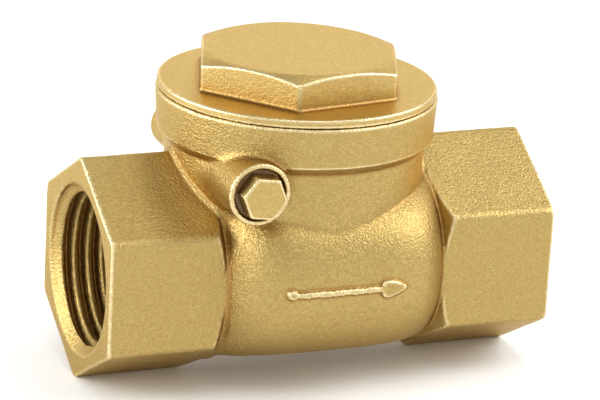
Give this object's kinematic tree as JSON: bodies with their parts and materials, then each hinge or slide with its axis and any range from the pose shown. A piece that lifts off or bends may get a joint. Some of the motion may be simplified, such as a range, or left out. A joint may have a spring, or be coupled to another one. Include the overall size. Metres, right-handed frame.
{
  "type": "swing check valve",
  "caption": "Cast brass swing check valve with hexagonal female-threaded ends, a screwed hexagon bonnet and a soft-faced clapper on a hinge pin.",
  "frame": {"origin": "on the flow axis, where the inlet thread begins behind its 1.2 mm countersink", "axes": "+X along the flow, +Z towards the bonnet"},
  "size_m": [0.0586, 0.0363, 0.0407],
  "materials": {
    "cast_brass": "sand-blasted casting, satin",
    "machined_brass": "fine-blasted, satin with brighter edges",
    "steel": "turned stainless steel",
    "rubber": "matt nitrile rubber",
    "fibre": "pressed fibre sheet, matt",
    "ptfe": "bronze-filled PTFE, waxy brown"
  },
  "bodies": {
    "body": {"valve_body": "cast_brass", "hinge_pin": "steel"},
    "gasket": {"bonnet_gasket": "fibre"},
    "bonnet": {"bonnet_cap": "machined_brass"},
    "plug_seal": {"plug_washer": "ptfe"},
    "plug": {"pin_plug": "machined_brass"},
    "arm": {"swing_arm": "cast_brass"},
    "disc": {"clapper_disc": "machined_brass", "disc_seal": "rubber", "seal_retainer": "steel", "clapper_bolt": "steel", "clapper_washer": "steel", "clapper_nut": "machined_brass"}
  },
  "joints": [
    {"name": "clapper_swing", "type": "hinge", "parent": "body", "child": "arm", "pos_m": [0.0159, 0, 0.0136], "axis": [0, -1, 0], "range_deg": [0, 70]},
    {"name": "disc_spin", "type": "hinge", "parent": "arm", "child": "disc", "pos_m": [0.0172, 0, 0], "axis": [1, 0, 0], "continuous": true},
    {"name": "bonnet_rise", "type": "slide", "parent": "body", "child": "gasket", "axis": [0, 0, 1], "range_m": [0, 0.0045]},
    {"name": "bonnet_turn", "type": "hinge", "parent": "gasket", "child": "bonnet", "pos_m": [0.0267, 0, 0.0214], "axis": [0, 0, 1], "range_deg": [0, 1090]},
    {"name": "plug_draw", "type": "slide", "parent": "body", "child": "plug_seal", "axis": [0, -1, 0], "range_m": [0, 0.007]},
    {"name": "plug_turn", "type": "hinge", "parent": "plug_seal", "child": "plug", "pos_m": [0.0159, -0.0165, 0.0136], "axis": [0, -1, 0], "range_deg": [0, 3620]}
  ],
  "couplings": [
    {"joint": "bonnet_turn", "follows": "bonnet_rise", "rad_per_m": 4188.8},
    {"joint": "plug_turn", "follows": "plug_draw", "rad_per_m": 8976}
  ]
}
